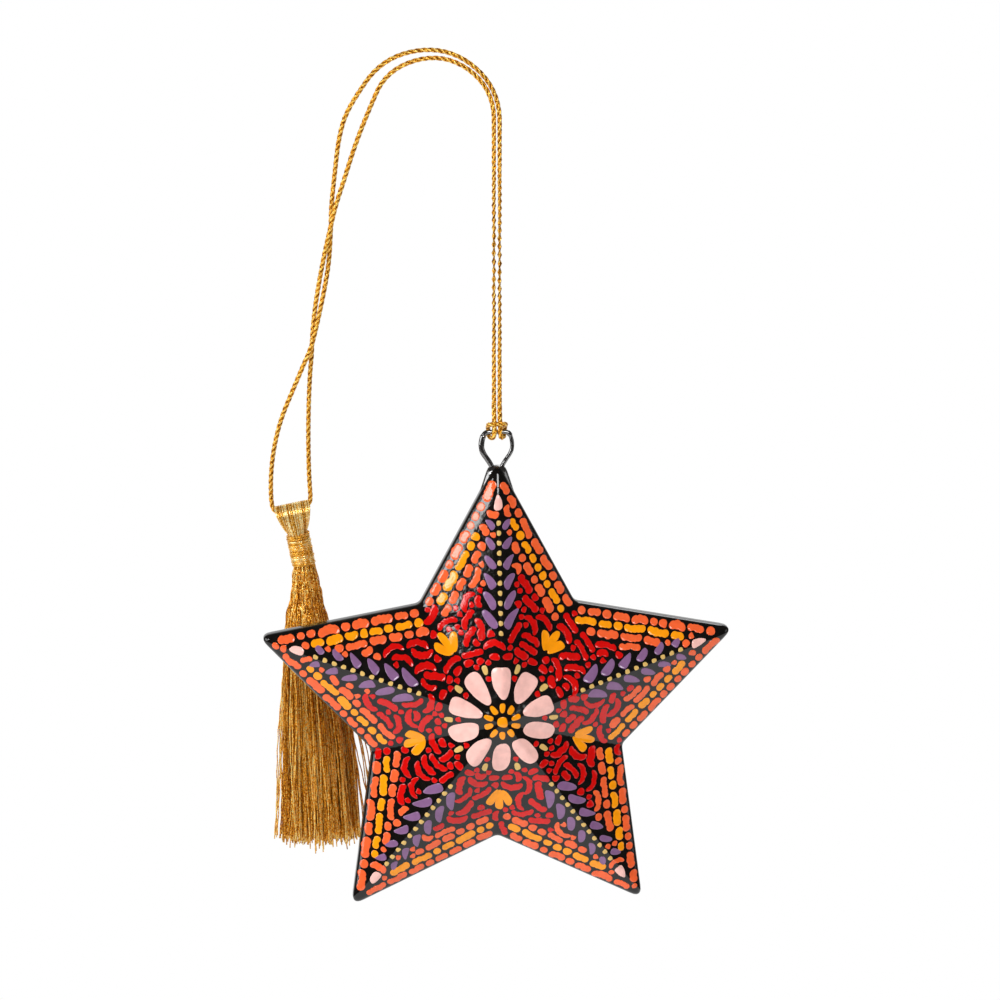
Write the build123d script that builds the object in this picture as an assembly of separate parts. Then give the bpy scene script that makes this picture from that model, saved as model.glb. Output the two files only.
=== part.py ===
from build123d import *
import math
import os

# A lacquered five-point star on a doubled gold cord, with a thread tassel at the cord's other end.
# Millimetres. +Z is up, the star's front faces -Y, and the origin is the point that the cord hangs from:
# the underside of the inner strand at the top of its bend.

# Star
POINTS = 5
TIP_RADIUS = 39.4        # centre to the rounded tip of a point
NOTCH_RADIUS = 21.3      # centre to the corner between two points
TIP_ROUND = 0.9          # rounding of the points, seen from the front
NOTCH_ROUND = 1.0        # rounding of the corners between them
RIDGE_ROUND = 1.2        # rounding of the ridges and valleys
RIM_FLAT = 0.5           # straight part of the edge, each side of the glued seam
RIM_HALF = 1.8           # half thickness where the facets start
RIM_ROLL = 0.9           # how far the rounded edge rolls in
RIM_MID_ROLL = 0.25      # the same halfway up the rounding
CROWN = 11.3             # height above the seam at which the facets would meet
CROWN_SHARE = 0.13       # size of the softened middle, as a share of the star
WALL = 1.9               # wall of the moulded halves
CAVITY_ROUND = 0.7       # rounding of the ridges inside

# Wire eye and the plug that holds it
WIRE = 0.8               # wire diameter
EYE_HEIGHT = 5.55        # top of the star to the wire's centre line at the top of the eye
EYE_HALF_WIDTH = 2.75    # corner that the widest part of the loop is bent from
EYE_SHOULDER = 2.9       # height of that corner
EYE_TOP_HALF = 1.95      # half width of the loop at its top corners
EYE_CORNER = 1.0         # bend at the two top corners
EYE_SWELL = 2.0          # bend at the widest part
NECK_BEND = 1.6          # bend where the legs open into the loop
NECK_HEIGHT = 0.6        # height of that bend above the star
LEG_HALF = 0.75          # half distance between the two legs
LEG_DEPTH = 12.5         # legs inside the star
PLUG_TOP = 7.2           # depth of the plug's top below the star's tip
PLUG_HEIGHT = 7.5
GLUE_GAP = 0.05          # glue film round the wire and the plug

# Cord
CORD = 0.8               # cord diameter
STRAND_STEP = 0.9        # distance between two strands that lie side by side
DROP_X = 10.85           # the star's upright line
EYE_TOP_Z = -59.15       # centre line of the wire at the top of the eye
HITCH_FIT = 0.12         # free space between the hitch and the wire
BAR_Z = 1.6              # height of the hitch's front bar above the wire
STANDING_Z = 3.6         # where the standing strands are back above the wire
HITCH_TOP = 4.6          # top of the hitch above the wire
SPIN_GAP = 0.15          # free space between the hitch and the strands above it
RUN_SHARE = 0.45         # share of a run that the arc at its end may take

# Tassel
TASSEL = (-21.15, 17.0, -74.6)   # middle of the cord's passage through the head
TASSEL_LEAN = 11.0       # lean of the head, degrees
HEAD_LENGTH = 5.2        # along the passage
HEAD_THICK = 2.7         # front to back at the fold
HEAD_TOP = 1.05          # passage to the top of the fold
ARCH_EASE = 0.02         # how far the arch of the fold reaches past its sides
HEAD_CORNER = 0.6
HEAD_HEIGHT = 4.5        # passage to the neck
NECK = 3.1               # neck diameter under the binding
NECK_HEIGHT_BOUND = 5.0  # bound length of the neck
NECK_FLAT = 0.05         # straight part left on the neck's square-to-round end
PASSAGE_FIT = 0.06       # free space between the cord and its passage
KNOT = 1.3               # diameter of the tied ends inside the head
KNOT_LENGTH = 1.6
KNOT_ROUND = 0.35
KNOT_FIT = 0.06
THREAD = 0.4             # thread of the neck binding
THREAD_PITCH = 0.88
THREAD_TURNS = 5
THREAD_FIT = 0.05
SLICE = 0.8              # gathered slice that the skirt's threads start from
SKIRT_THREADS = 160
SKIRT_STAGGER = 1.6      # uneven length of the cut ends
# Skirt levels: height, sideways place, half width, half depth, side of one bunch of threads
SKIRT_LEVELS = (
    (-94.0, -18.9, 3.5, 2.9, 0.28),
    (-111.0, -17.5, 6.2, 4.2, 0.41),
    (-131.0, -17.4, 7.0, 4.6, 0.45),
)
THREAD_TOP_SIDE = 0.12   # side of one bunch of threads where it leaves the neck

# Routes of the two strands between the top bend and the tassel, chosen on the photograph
OUTER_ROUTE = (
    (DROP_X + STRAND_STEP / 2, 0.0, -4.4),
    (3.5, 0.0, 2.3),
    (-6.7, 0.4, 0.9),
    (-12.4, 1.9, -7.3),
    (-13.8, 2.9, -11.9),
    (-14.4, 4.2, -17.5),
    (-14.95, 5.9, -23.2),
    (-15.0, 6.7, -26.3),
    (-15.1, 7.35, -29.5),
    (-15.35, 7.9, -33.1),
    (-16.05, 8.5, -37.3),
    (-16.9, 9.1, -41.4),
    (-17.75, 9.8, -45.3),
    (-18.45, 10.4, -47.6),
    (-19.5, 11.3, -50.1),
    (-21.0, 12.2, -53.9),
    (-22.7, 13.2, -58.1),
    (-23.8, 14.0, -62.0),
    (-24.5, 15.0, -66.4),
    (-24.7, 15.9, -70.3),
)
INNER_ROUTE = (
    (DROP_X - STRAND_STEP / 2, 0.0, -4.5),
    (2.9, 0.0, 1.3),
    (-6.3, 0.6, -1.1),
    (-9.7, 2.3, -9.2),
    (-11.5, 3.5, -14.2),
    (-13.0, 4.4, -19.2),
    (-14.3, 5.0, -23.2),
    (-15.0, 5.65, -26.3),
    (-15.7, 6.45, -29.5),
    (-16.4, 7.5, -33.1),
    (-17.1, 8.7, -37.3),
    (-17.65, 9.9, -41.4),
    (-17.95, 10.9, -45.3),
    (-18.0, 11.5, -48.0),
    (-18.3, 12.1, -51.3),
    (-18.5, 12.9, -55.9),
    (-18.6, 13.9, -61.8),
    (-18.5, 15.2, -67.8),
    (-18.3, 16.1, -71.2),
)
# Where each strand bends into the head, in the head's own frame: along the passage, and up from it
LEG_CORNERS = ((3.55, 0.95), (2.95, 0.0))

# Worked out from the sizes above
POINT_TURN = math.pi / POINTS
GOLDEN_TURN = math.pi * (3 - math.sqrt(5))
SETTLE_STEPS = 20        # steps in which the corner radius settles
GAP_SAMPLES = 600        # places at which the binding is measured against itself


def point_shape():
    """Radius at which a point's edges would meet, and distance of the edges from the centre."""
    corner = TIP_RADIUS
    for _ in range(SETTLE_STEPS):
        side = math.sqrt(corner**2 + NOTCH_RADIUS**2 - 2 * corner * NOTCH_RADIUS * math.cos(POINT_TURN))
        half_angle = math.asin(NOTCH_RADIUS * math.sin(POINT_TURN) / side)
        corner = TIP_RADIUS + TIP_ROUND * (1 / math.sin(half_angle) - 1)
    return corner, corner * math.sin(half_angle)


CORNER_RADIUS, APOTHEM = point_shape()
STAR_CENTRE = Vector(DROP_X, 0, EYE_TOP_Z - EYE_HEIGHT - TIP_RADIUS)
RIM_SHARE = 1 - RIM_ROLL / APOTHEM
FACET_RISE = (CROWN - RIM_HALF) / (APOTHEM * RIM_SHARE)
WALL_DROP = WALL * math.sqrt(1 + FACET_RISE**2)


def facet_depth(inset):
    """Height of the facets above the seam, this far in from the star's edge."""
    return RIM_HALF + FACET_RISE * (inset - RIM_ROLL)


def star_outline(inset, depth, tip_round, notch_round):
    """Rounded star outline set in from the edge, in the upright plane at this depth."""
    share = 1 - inset / APOTHEM
    corners = []
    for k in range(POINTS):
        for radius, turn in ((CORNER_RADIUS, 0), (NOTCH_RADIUS, POINT_TURN)):
            angle = math.pi / 2 + 2 * k * POINT_TURN + turn
            corners.append((radius * share * math.cos(angle), depth, radius * share * math.sin(angle)))
    return FilletPolyline(*corners, radius=[tip_round, notch_round] * POINTS, close=True).wire()


def star_body(side):
    """Outside of one half: rounded edge, ten facets and the softened middle."""
    crown_inset = APOTHEM * (1 - CROWN_SHARE)
    top_inset = APOTHEM * (1 - CROWN_SHARE / 2)
    top_depth = facet_depth(crown_inset) + FACET_RISE * (top_inset - crown_inset) / 2
    rim_mid = (RIM_FLAT + RIM_HALF) / 2
    sections = (
        (0, 0, TIP_ROUND, NOTCH_ROUND),
        (0, RIM_FLAT, TIP_ROUND, NOTCH_ROUND),
        (RIM_MID_ROLL, rim_mid, TIP_ROUND, NOTCH_ROUND),
        (RIM_ROLL, RIM_HALF, TIP_ROUND, NOTCH_ROUND),
        (crown_inset, facet_depth(crown_inset), RIDGE_ROUND, RIDGE_ROUND),
        (top_inset, top_depth, RIDGE_ROUND / 2, RIDGE_ROUND / 2),
    )
    return Solid.make_loft([star_outline(i, side * d, t, n) for i, d, t, n in sections], ruled=True)


def star_cavity(side, fit):
    """Space inside one half, or what fills it when the fit is more than nothing."""
    inset = WALL + fit
    drop = WALL_DROP + fit * math.sqrt(1 + FACET_RISE**2)
    crown_inset = APOTHEM * (1 - CROWN_SHARE)
    sections = (
        (inset, 0),
        (inset, facet_depth(inset) - drop),
        (crown_inset, facet_depth(crown_inset) - drop),
    )
    return Solid.make_loft([star_outline(i, side * d, CAVITY_ROUND, CAVITY_ROUND) for i, d in sections], ruled=True)


def leg_holes(fit):
    """The two straight holes that the wire's legs go down."""
    depth = LEG_DEPTH + fit
    hole = Cylinder(WIRE / 2 + fit, depth + WIRE, align=(Align.CENTER, Align.CENTER, Align.MIN))
    return [Pos(x, 0, TIP_RADIUS - depth) * hole for x in (-LEG_HALF, LEG_HALF)]


def star_shell(side):
    """One moulded half, hollow, with grooves for the wire's legs in its seam face."""
    shell = star_body(side) - star_cavity(side, 0) - leg_holes(GLUE_GAP)
    return Pos(STAR_CENTRE) * shell


def eye_anchor_plug():
    """Filler that fits the hollow of the top arm and holds the wire's legs."""
    hollow = star_cavity(-1, GLUE_GAP) + star_cavity(1, GLUE_GAP)
    slab = Box(2 * CROWN, 2 * CROWN, PLUG_HEIGHT, align=(Align.CENTER, Align.CENTER, Align.MAX))
    plug = hollow & Pos(0, 0, TIP_RADIUS - PLUG_TOP) * slab
    return Pos(STAR_CENTRE) * (plug - leg_holes(GLUE_GAP))


def tube(points, radii, diameter):
    """Round tube along straight runs joined by tangent arcs."""
    path = FilletPolyline(*points, radius=radii).wire()
    profile = Plane(origin=path @ 0, z_dir=path % 0) * Circle(diameter / 2)
    solid = sweep(profile, path)
    share = solid.volume / (math.pi * diameter**2 / 4 * path.length)
    print(f"tube of {path.length:.1f} mm, volume {share:.4f} of section times length, least bend {min(radii):.2f}")
    return solid


def wire_eye():
    """Pear-shaped loop with a straight top, on two legs."""
    top = EYE_HEIGHT
    half = (
        (LEG_HALF, -LEG_DEPTH),
        (LEG_HALF, NECK_HEIGHT),
        (EYE_HALF_WIDTH, EYE_SHOULDER),
        (EYE_TOP_HALF, top),
    )
    bends = [NECK_BEND, EYE_SWELL, EYE_CORNER]
    points = [(-x, 0, z) for x, z in half] + [(x, 0, z) for x, z in reversed(half)]
    return Pos(STAR_CENTRE + Vector(0, 0, TIP_RADIUS)) * tube(points, bends + bends[::-1], WIRE)


def run_radii(points):
    """Largest arc that each corner's two runs allow."""
    radii = []
    for before, corner, after in zip(points, points[1:], points[2:]):
        run_in = Vector(corner) - Vector(before)
        run_out = Vector(after) - Vector(corner)
        half_turn = math.radians(run_in.get_angle(run_out)) / 2
        radii.append(RUN_SHARE * min(run_in.length, run_out.length) / math.tan(half_turn))
    return radii


def head_place():
    """The head's own frame: x along the passage, z up the tassel."""
    return Pos(TASSEL) * Rot(0, -TASSEL_LEAN, 0)


def cord_strand(route, drop_x, side):
    """One strand, from above the hitch, over the top bend and down to the knot in the head."""
    start = (drop_x, 0, EYE_TOP_Z + HITCH_TOP + SPIN_GAP)
    ends = [*LEG_CORNERS, (KNOT_LENGTH / 2, 0)]
    legs = [tuple((head_place() * Pos(side * x, 0, z)).position) for x, z in ends]
    points = [start, *route, *legs]
    return tube(points, run_radii(points), CORD)


def cord_hitch():
    """Lark's head: two turns under the wire and a bar across the front of the standing strands."""
    wrap = WIRE / 2 + HITCH_FIT + CORD / 2
    inner = STRAND_STEP / 2
    outer = inner + STRAND_STEP
    bar_y = -wrap - STRAND_STEP
    half = (
        (outer, bar_y, BAR_Z),
        (outer, wrap, wrap),
        (outer, wrap, -wrap),
        (inner, -wrap, -wrap),
        (inner, -wrap, BAR_Z),
        (inner, 0, STANDING_Z),
        (inner, 0, HITCH_TOP),
    )
    points = [(-x, y, z) for x, y, z in reversed(half)] + list(half)
    bend = CORD
    bends = [bend] * 4
    standing = run_radii([half[3], half[4], half[5], half[6]])
    lean = min(standing)
    radii = [lean, lean] + bends[::-1] + bends + [lean, lean]
    return Pos(DROP_X, 0, EYE_TOP_Z) * tube(points, radii, CORD)


def cord_end_knot():
    """The cord's two ends, tied tight inside the head."""
    knot = Rot(0, 90, 0) * Cylinder(KNOT / 2, KNOT_LENGTH)
    return head_place() * fillet(knot.edges().filter_by(GeomType.CIRCLE), KNOT_ROUND)


def tassel_head():
    """Skein folded over the cord, drawn in to the neck, with the cord's passage and the knot's space."""
    fold_plan = RectangleRounded(HEAD_LENGTH, HEAD_THICK, HEAD_CORNER)
    neck_plan = RectangleRounded(NECK, NECK, NECK / 2 - NECK_FLAT)
    arch = extrude(Plane.YZ * Ellipse(HEAD_THICK / 2 + ARCH_EASE, HEAD_TOP), HEAD_LENGTH, both=True)
    fold = extrude(fold_plan, HEAD_TOP) & arch
    gather = loft([fold_plan, Pos(0, 0, -HEAD_HEIGHT) * neck_plan])
    neck = Pos(0, 0, -HEAD_HEIGHT - NECK_HEIGHT_BOUND) * extrude(neck_plan, NECK_HEIGHT_BOUND)
    passage = Rot(0, 90, 0) * Cylinder(CORD / 2 + PASSAGE_FIT, 2 * HEAD_LENGTH)
    knot_space = Rot(0, 90, 0) * Cylinder(KNOT / 2 + KNOT_FIT, KNOT_LENGTH + 2 * KNOT_FIT)
    return head_place() * (fold + gather + neck - passage - knot_space)


def biarc(start, start_way, end, end_way):
    """Two tangent arcs from one point and heading to the next."""
    span = end - start
    ways = start_way + end_way
    spread = 2 * (1 - start_way.dot(end_way))
    along = span.dot(ways)
    reach = (math.sqrt(along**2 + spread * span.dot(span)) - along) / spread
    middle = (start + end + (start_way - end_way) * reach) / 2
    middle_way = (end - end_way * reach - start - start_way * reach).normalized()
    return [Edge.make_tangent_arc(start, start_way, middle), Edge.make_tangent_arc(middle, middle_way, end)]


def tassel_neck_binding():
    """Thread wound round the neck, with straight ends."""
    radius = NECK / 2 + THREAD_FIT + THREAD / 2
    climb = THREAD_PITCH / (2 * math.pi)
    top = -HEAD_HEIGHT - (NECK_HEIGHT_BOUND - THREAD_PITCH * THREAD_TURNS) / 2
    quarters = 4 * THREAD_TURNS

    def place(turn):
        return Vector(radius * math.cos(turn), radius * math.sin(turn), top - climb * turn)

    def heading(turn):
        return Vector(-radius * math.sin(turn), radius * math.cos(turn), -climb).normalized()

    turns = [k * math.pi / 2 for k in range(quarters + 1)]
    edges = [Edge.make_line(place(0) - heading(0) * THREAD, place(0))]
    for first, last in zip(turns, turns[1:]):
        edges += biarc(place(first), heading(first), place(last), heading(last))
    edges.append(Edge.make_line(place(turns[-1]), place(turns[-1]) + heading(turns[-1]) * THREAD))
    path = Wire(edges)
    samples = [path @ (k / GAP_SAMPLES) for k in range(GAP_SAMPLES + 1)]
    apart = GAP_SAMPLES * THREAD_PITCH * 2 / path.length
    gap = min(
        (samples[i] - samples[j]).length
        for i in range(len(samples))
        for j in range(i + int(apart), len(samples))
    )
    print(f"neck binding: {THREAD_TURNS} turns, least gap to itself {gap - THREAD:.2f} mm")
    profile = Plane(origin=path @ 0, z_dir=path % 0) * Circle(THREAD / 2)
    return head_place() * sweep(profile, path)


def square_at(x, y, z, side):
    """Corners of a level square."""
    half = side / 2
    return [(x - half, y - half, z), (x + half, y - half, z), (x + half, y + half, z), (x - half, y + half, z)]


def thread_bunch(squares):
    """Four-sided bunch of threads through a row of level squares."""
    outlines = [squares[0], squares[-1]]
    for above, below in zip(squares, squares[1:]):
        for k in range(4):
            after = (k + 1) % 4
            outlines.append([above[k], above[after], below[after], below[k]])
    return Solid(Shell([Face(Wire.make_polygon(outline, close=True)) for outline in outlines]))


def tassel_skirt():
    """Bunches of cut thread that spread from the gathered slice, none crossing."""
    neck_end = head_place() * Pos(0, 0, -HEAD_HEIGHT - NECK_HEIGHT_BOUND)
    gathered = neck_end * Cylinder(NECK / 2, SLICE, align=(Align.CENTER, Align.CENTER, Align.MAX))
    start = (neck_end * Pos(0, 0, -SLICE / 2)).position
    spread = NECK / 2 - THREAD_TOP_SIDE
    bunches = []
    for k in range(SKIRT_THREADS):
        share = math.sqrt((k + 0.5) / SKIRT_THREADS)
        across, deep = share * math.cos(k * GOLDEN_TURN), share * math.sin(k * GOLDEN_TURN)
        sections = [square_at(start.X + spread * across, start.Y + spread * deep, start.Z, THREAD_TOP_SIDE)]
        for z, x, half_width, half_depth, side in SKIRT_LEVELS:
            uneven = SKIRT_STAGGER * math.sin(k * GOLDEN_TURN) if z == SKIRT_LEVELS[-1][0] else 0
            sections.append(square_at(x + half_width * across, TASSEL[1] + half_depth * deep, z + uneven, side))
        bunches.append(thread_bunch(sections))
    return gathered.fuse(*bunches)


NODES = {
    "star_front_shell": star_shell(-1),
    "star_back_shell": star_shell(1),
    "eye_anchor_plug": eye_anchor_plug(),
    "wire_eye": wire_eye(),
    "cord_outer_strand": cord_strand(OUTER_ROUTE, DROP_X + STRAND_STEP / 2, -1),
    "cord_inner_strand": cord_strand(INNER_ROUTE, DROP_X - STRAND_STEP / 2, 1),
    "cord_hitch": cord_hitch(),
    "cord_end_knot": cord_end_knot(),
    "tassel_head": tassel_head(),
    "tassel_neck_binding": tassel_neck_binding(),
    "tassel_skirt": tassel_skirt(),
}

os.makedirs("parts", exist_ok=True)
for name, solid in NODES.items():
    export_step(solid, f"parts/{name}.step")
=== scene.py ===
import itertools
import math
import random

import bpy
from mathutils import Matrix, Vector, noise


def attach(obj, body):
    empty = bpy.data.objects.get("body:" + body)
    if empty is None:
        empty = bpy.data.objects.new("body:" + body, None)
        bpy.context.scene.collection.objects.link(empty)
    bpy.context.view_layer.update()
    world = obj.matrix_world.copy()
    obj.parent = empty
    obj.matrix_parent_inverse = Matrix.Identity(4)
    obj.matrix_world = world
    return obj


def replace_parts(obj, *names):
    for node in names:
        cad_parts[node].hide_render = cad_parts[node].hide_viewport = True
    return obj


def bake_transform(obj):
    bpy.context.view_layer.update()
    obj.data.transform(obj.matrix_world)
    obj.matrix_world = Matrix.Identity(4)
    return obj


# A lacquered five-point star on a doubled gold cord with a thread tassel.
# Sizes are in millimetres until a mesh, lamp or camera is placed; the row frame is in metres.

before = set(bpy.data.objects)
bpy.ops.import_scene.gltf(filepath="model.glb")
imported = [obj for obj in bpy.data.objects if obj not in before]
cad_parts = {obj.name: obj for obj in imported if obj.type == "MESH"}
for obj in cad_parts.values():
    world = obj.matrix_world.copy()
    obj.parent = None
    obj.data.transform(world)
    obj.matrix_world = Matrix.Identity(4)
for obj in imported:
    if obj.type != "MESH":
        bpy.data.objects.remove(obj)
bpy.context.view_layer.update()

MM = 0.001

# Camera and stage
CAMERA_PLACE = (-47.85, -676.8, 68.0)
CAMERA_AZIMUTH = -5.0
CAMERA_ELEVATION = 11.5
CAMERA_LENS = 156.24
SENSOR = 36.0
CLIP_START = 0.01        # in metres
FLOOR_HEIGHT = -600.0
FLOOR_RADIUS = 1200.0
FLOOR_SIDES = 96
SHADOW_REACH = (0.15, 0.9)  # metres from the floor's middle over which the shadow fades
SHADOW_WHITE = 0.9       # share of plain white that is seen where the shadow is deepest
AMBIENT = (0.85, 0.25)   # light of the surroundings, from the left and from the right
MIRRORED_FRONT = 0.07    # brightness of the surroundings in front, as reflections show them
MIRRORED_BACK = 0.5      # how far back they start to brighten, as a share of straight behind
# Lamps: place from the star's middle and size in metres, and power in watts
LAMPS = {
    "key": ((0.12, -1.06, 0.57), 0.36, 5.0),
    "left": ((-1.0, -0.22, 0.1), 0.6, 3.8),
    "gleam": ((-0.75, -0.6, 0.3), 0.2, 1.3),
    "right": ((1.0, -0.22, 0.05), 0.5, 0.7),
    "back": ((0.3, 0.8, 0.8), 0.4, 2.0),
}

# Star
POINTS = 5
STAR_CENTRE = Vector((10.85, 0.0, -104.1))
TIP_RADIUS = 39.4        # centre to the rounded tip of a point
NOTCH_RADIUS = 21.3      # centre to the corner between two points
CORNER_RADIUS = 40.39    # centre to where the edges of a point would meet
RIM_HEIGHT = 1.33        # height above the seam at which the facets would meet the edge
RIM_ROUND = 1.35         # rounding of the edge, from its wall to the facet
RIM_STEPS = 7
CROWN = 11.3             # height above the seam at which the facets would meet
CROWN_SOFT = 1.9         # half width of the softened middle
RIDGE_SOFT = 0.6         # half width of the softened ridges and valleys
TIP_SOFT = 1.07          # the same at the tip of a point
TIP_START = 0.75         # share of the tip's radius from which a ridge softens towards it
FACET_STEPS = 34
FACET_END = 0.985        # share of the way in at which the rings of the facets end
REACH_PASSES = 6         # passes that bring a point onto its ring
ARM_STEPS = 36           # mesh steps from a ridge to a valley
LUMP = 0.09              # unevenness of the hand-finished facets
LUMP_SIZE = 8.0
LUMP_SHIFT = 24.0        # sets the two halves' unevenness apart
LUMP_FINER = 3           # how much smaller the finer unevenness is
FINE_LUMP = 0.3          # its depth, as a share of the larger one's
LUMP_FADE = 1.2          # distance from the rounded edge over which the unevenness sets in
ARM_TURN = 2 * math.pi / POINTS
EDGE_LENGTH = math.dist(
    (CORNER_RADIUS, 0), (NOTCH_RADIUS * math.cos(ARM_TURN / 2), NOTCH_RADIUS * math.sin(ARM_TURN / 2))
)
HALF_POINT = math.asin(NOTCH_RADIUS * math.sin(ARM_TURN / 2) / EDGE_LENGTH)
APOTHEM = CORNER_RADIUS * math.sin(HALF_POINT)
FACET_RISE = (CROWN - RIM_HEIGHT) / APOTHEM
RIM_TURN = math.pi / 2 - math.atan(FACET_RISE)
RIM_WALL = RIM_HEIGHT - RIM_ROUND * math.tan(RIM_TURN / 2)
RIM_INSET = RIM_ROUND * (1 - math.cos(RIM_TURN))
SEAM_NEAR = 1e-7         # metres from the seam within which an edge lies on it

# Wire eye
WIRE = 0.8
EYE_TOP = Vector((10.85, 0.0, -59.15))
# Right half of the wire, from the foot of its leg to its top, from the star's upper tip
EYE_HALF = (
    (0.75, -12.5), (0.75, -6.0), (0.75, -0.9), (0.75, -0.1), (1.4, 1.0), (2.2, 2.1), (2.5, 3.1), (2.4, 4.3),
    (2.05, 5.25), (1.6, 5.55), (0.6, 5.55),
)
# Build-up of lacquer round the legs: height above the tip, and half width
EYE_COLLAR = (
    (0.15, 0.7), (0.0, 1.15), (-0.3, 1.45), (-0.8, 1.68), (-1.6, 1.95), (-2.6, 2.28), (-3.6, 2.6),
    (-4.6, 2.9),
)
COLLAR_SIDES = 24
COLLAR_FLAT = 0.65       # half depth of the collar, as a share of its half width
COLLAR_DEPTH = 1.15      # its half depth at most
WIRE_SIDES = 16
WIRE_STEPS = 10          # mesh steps between two points of the wire's line
WIRE_SWELL = 0.17        # share by which the loop is thicker on its left and thinner on its right
WIRE_UNEVEN = 0.09       # share by which its thickness wavers
LOOP_HALF = 2.5          # half width of the loop
LOOP_TOP = 5.0           # height above the tip up to which it swells

# Cord
CORD = 0.8
CORD_PLIES = 3
PLY_PITCH = 3.3          # length of one turn of the plies
PLY_SHARE = 0.6          # radius of one ply, as a share of the cord's
CORD_SIDES = 24
CORD_STEPS = 24          # mesh steps between two points of a route
DROP_START = -54.7
OUTER_ROUTE = (
    (11.3, 0.0, DROP_START), (11.3, 0.0, -49.6), (11.3, 0.0, -14.7),
    (11.3, 0.0, -4.4), (3.5, 0.0, 2.3), (-6.7, 0.4, 0.9), (-12.4, 1.9, -7.3), (-13.8, 2.9, -11.9),
    (-14.4, 4.2, -17.5), (-14.95, 5.9, -23.2), (-15.0, 6.7, -26.3), (-15.1, 7.35, -29.5),
    (-15.35, 7.9, -33.1), (-16.05, 8.5, -37.3), (-16.9, 9.1, -41.4), (-17.75, 9.8, -45.3),
    (-18.45, 10.4, -47.6), (-19.5, 11.3, -50.1), (-21.0, 12.2, -53.9), (-22.7, 13.2, -58.1),
    (-23.8, 14.0, -62.0), (-24.5, 15.0, -66.4), (-24.7, 15.9, -70.3),
)
INNER_ROUTE = (
    (10.4, 0.0, DROP_START), (10.4, 0.0, -49.6), (10.4, 0.0, -14.0),
    (10.4, 0.0, -4.5), (2.9, 0.0, 1.3), (-6.3, 0.6, -1.1), (-9.7, 2.3, -9.2), (-11.5, 3.5, -14.2),
    (-13.0, 4.4, -19.2), (-14.3, 5.0, -23.2), (-15.0, 5.65, -26.3), (-15.7, 6.45, -29.5),
    (-16.4, 7.5, -33.1), (-17.1, 8.7, -37.3), (-17.65, 9.9, -41.4), (-17.95, 10.9, -45.3),
    (-18.0, 11.5, -48.0), (-18.3, 12.1, -51.3), (-18.5, 12.9, -55.9), (-18.6, 13.9, -61.8),
    (-18.5, 15.2, -67.8), (-18.3, 16.1, -71.2),
)
# Where each strand bends into the tassel's head and ends at the knot: along the passage, and up from it
LEG_CORNERS = ((3.25, 1.05), (2.65, 0.0), (0.8, 0.0))
# Right half of the hitch, from the middle of its front bar, from the top of the eye
HITCH_HALF = (
    (1.35, -1.82, 1.6), (1.35, 0.92, 0.92), (1.35, 0.92, -0.92), (0.45, -0.92, -0.92),
    (0.45, -0.92, 1.6), (0.45, 0.0, 3.6), (0.45, 0.0, 4.6),
)

# Tassel
TASSEL = Vector((-21.15, 17.0, -74.6))
TASSEL_LEAN = -11.0
HEAD_PLACE = Matrix.Translation(TASSEL) @ Matrix.Rotation(math.radians(TASSEL_LEAN), 4, "Y")
HEAD_HALF = 2.9          # half length of the fold along the cord's passage
HEAD_TOP = 1.05          # passage to the top of the fold
HEAD_SHOULDER = 1.2      # passage down to where the fold starts to round over
FOLD_DEPTH = 1.6         # half thickness of the fold, front to back
HEAD_HEIGHT = 4.5        # passage to the neck
HEAD_STEPS = 12          # mesh steps up one side of the fold
ARCH_STEPS = 14          # mesh steps over the cord
HEAD_FLARE = 0.7         # below 1, the fold widens soon above the binding
NECK_TURN = math.radians(84)  # how far round the neck the outermost threads lie
HEAD_THREADS = 60
HEAD_SIDES = 6
HEAD_PLAY = 0.03         # unevenness of a thread's depth in the skein
HEAD_LAYERS = 4
HEAD_THREAD = 0.085      # radius of one thread
LAYER_STEP = 0.15
NECK_RADIUS = 1.55
NECK_LENGTH = 5.0
KNOT_SIZE = 0.5
KNOT_STEPS = 72
KNOT_RING = 2.4          # brings the knot's loops round the passage to its size, larger for smaller loops
KNOT_SIDES = 10
BIND_THREAD = 0.2        # radius of the binding thread
BIND_TOP = 4.0           # passage to the top of the binding
BIND_TURNS = 14
CROSS_TURNS = 4          # steeper turns back up over the others
CROSS_THREAD = 0.13      # their radius, as they are pulled flat
CROSS_REACH = 1.7        # how far they stand off the neck, in radii of the binding thread
BIND_STEPS = 30          # mesh steps in one turn
BIND_SIDES = 8
BIND_WANDER = 0.1        # how far a turn strays up and down
BIND_UNEVEN = 0.05       # how far it strays in and out
SKIRT_LOCKS = 60         # bunches in which the threads hang together
LOCK_THREADS = 13
SKIRT_THREAD = 0.1       # radius of one thread
SKIRT_SIDES = 5
SKIRT_STEPS = 10         # mesh steps between two levels
SKIRT_UNEVEN = 0.7       # unevenness of a thread's heights
# Where the threads leave the binding: share of the neck's length, and of its radius
SKIRT_ROOTS = ((0.7, 1.0), (1.0, 1.15))
STRAYS = ((math.pi, 0.1), (0.0, 0.27))  # side on which single threads stand off, and how far they flare
STRAY_COUNT = 9
STRAY_SPREAD = 0.7       # how far round from that side they start
STRAY_LEVEL = 2          # skirt level below which they flare
CRIMP = 0.06             # depth of a thread's small waves
CRIMP_RATES = (1.6, 2.4)  # radians of a wave in each millimetre
# Skirt levels: height, sideways place, half width, half depth, looseness of a bunch
SKIRT_LEVELS = (
    (-86.5, -19.2, 1.95, 1.9, 0.1), (-90.0, -19.0, 2.5, 2.2, 0.18), (-94.0, -18.9, 3.15, 2.7, 0.27),
    (-111.0, -17.5, 5.4, 3.9, 0.45), (-129.8, -16.8, 6.4, 4.4, 0.5),
)

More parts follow.
